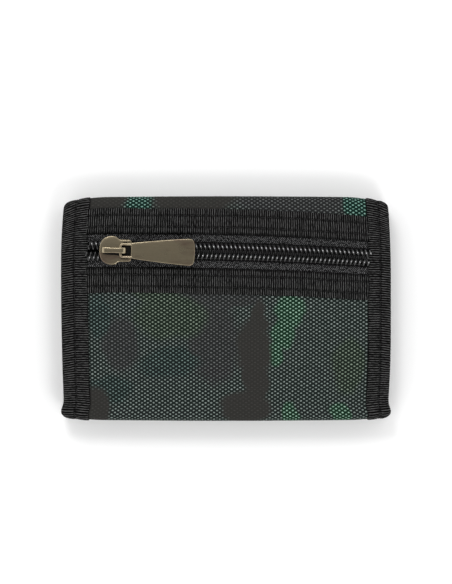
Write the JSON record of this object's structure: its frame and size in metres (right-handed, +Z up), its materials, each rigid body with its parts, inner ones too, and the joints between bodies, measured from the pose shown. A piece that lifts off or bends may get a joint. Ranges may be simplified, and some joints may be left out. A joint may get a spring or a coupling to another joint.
{
  "type": "trifold wallet",
  "caption": "Closed trifold fabric wallet with bound edges, an outside zip coin pocket, card pockets, an identity window and a hook-and-loop closure.",
  "frame": {"origin": "middle of the base of the closed wallet, on the surface that it lies on", "axes": "+X across the wallet, from the zip's closed end to its open end; +Y from the inner fold to the outer fold; +Z up through the folded stack, out of the zip side"},
  "size_m": [0.125, 0.085, 0.0195],
  "materials": {
    "camouflage_fabric": "dobby weave polyester, muted green and grey camouflage",
    "binding_tape": "ribbed black grosgrain",
    "zip_tape": "fine twill",
    "zip_coil": "satin nylon coil",
    "lining": "plain weave nylon",
    "pocket_fabric": "plain weave nylon",
    "foam": "thin padding, sealed inside",
    "window_film": "clear soft vinyl",
    "hook_tape": "hook side",
    "loop_tape": "loop side",
    "bronze_metal": "dark bronze plating, worn satin"
  },
  "bodies": {
    "back_panel": {"back_shell_upper": "camouflage_fabric", "back_shell_lower": "camouflage_fabric", "zip_tape_upper": "zip_tape", "zip_tape_lower": "zip_tape", "zip_coil_upper": "zip_coil", "zip_coil_lower": "zip_coil", "zip_band_upper": "binding_tape", "zip_band_lower": "binding_tape", "coin_pocket_back": "lining", "back_lining": "lining", "card_pocket_1": "pocket_fabric", "card_pocket_2": "pocket_fabric", "card_pocket_3": "pocket_fabric", "card_trim_1": "binding_tape", "card_trim_2": "binding_tape", "card_trim_3": "binding_tape", "back_binding_left": "binding_tape", "back_binding_right_outer": "binding_tape", "back_binding_right_inner": "binding_tape"},
    "outer_fold": {"outer_fold_shell": "camouflage_fabric", "outer_fold_lining": "lining", "outer_fold_binding_left": "binding_tape", "outer_fold_binding_right_outer": "binding_tape", "outer_fold_binding_right_inner": "binding_tape"},
    "outer_flap": {"outer_flap_shell": "camouflage_fabric", "outer_flap_foam": "foam", "outer_flap_lining": "lining", "id_window_film": "window_film", "id_window_frame": "binding_tape", "hook_patch": "hook_tape", "outer_flap_binding_left": "binding_tape", "outer_flap_binding_right_outer": "binding_tape", "outer_flap_binding_right_inner": "binding_tape", "outer_flap_binding_end": "binding_tape"},
    "inner_fold": {"inner_fold_shell": "camouflage_fabric", "inner_fold_lining": "lining", "inner_fold_binding_left": "binding_tape", "inner_fold_binding_right": "binding_tape"},
    "inner_flap": {"inner_flap_shell": "camouflage_fabric", "inner_flap_foam": "foam", "inner_flap_lining": "lining", "inner_card_pocket": "pocket_fabric", "inner_card_trim": "binding_tape", "loop_patch": "loop_tape", "inner_flap_binding_left": "binding_tape", "inner_flap_binding_right": "binding_tape", "inner_flap_binding_end": "binding_tape"},
    "slider": {"slider_body": "bronze_metal", "slider_bail": "bronze_metal"},
    "pull": {"pull_tab": "bronze_metal"}
  },
  "joints": [
    {"name": "outer_fold_top", "type": "hinge", "parent": "back_panel", "child": "outer_fold", "pos_m": [0, 0.04136, 0.01346], "axis": [1, 0, 0], "range_deg": [0, 100]},
    {"name": "outer_fold_base", "type": "hinge", "parent": "outer_fold", "child": "outer_flap", "pos_m": [0, 0.04136, 0.00114], "axis": [1, 0, 0], "range_deg": [0, 100]},
    {"name": "inner_fold_top", "type": "hinge", "parent": "back_panel", "child": "inner_fold", "pos_m": [0, -0.04136, 0.01346], "axis": [-1, 0, 0], "range_deg": [0, 90]},
    {"name": "inner_fold_base", "type": "hinge", "parent": "inner_fold", "child": "inner_flap", "pos_m": [0, -0.04136, 0.00594], "axis": [-1, 0, 0], "range_deg": [0, 90]},
    {"name": "zip_slide", "type": "slide", "parent": "back_panel", "child": "slider", "axis": [0.9997, -0.0262, 0], "range_m": [0, 0.088]},
    {"name": "pull_tab_swing", "type": "hinge", "parent": "slider", "child": "pull", "pos_m": [-0.0394, 0.02183, 0.01805], "axis": [-0.0262, -0.9997, 0], "range_deg": [0, 150]}
  ],
  "couplings": [
    {"joint": "outer_fold_base", "follows": "outer_fold_top", "ratio": 1},
    {"joint": "inner_fold_top", "follows": "outer_fold_top", "ratio": 0.9},
    {"joint": "inner_fold_base", "follows": "outer_fold_top", "ratio": 0.9}
  ]
}
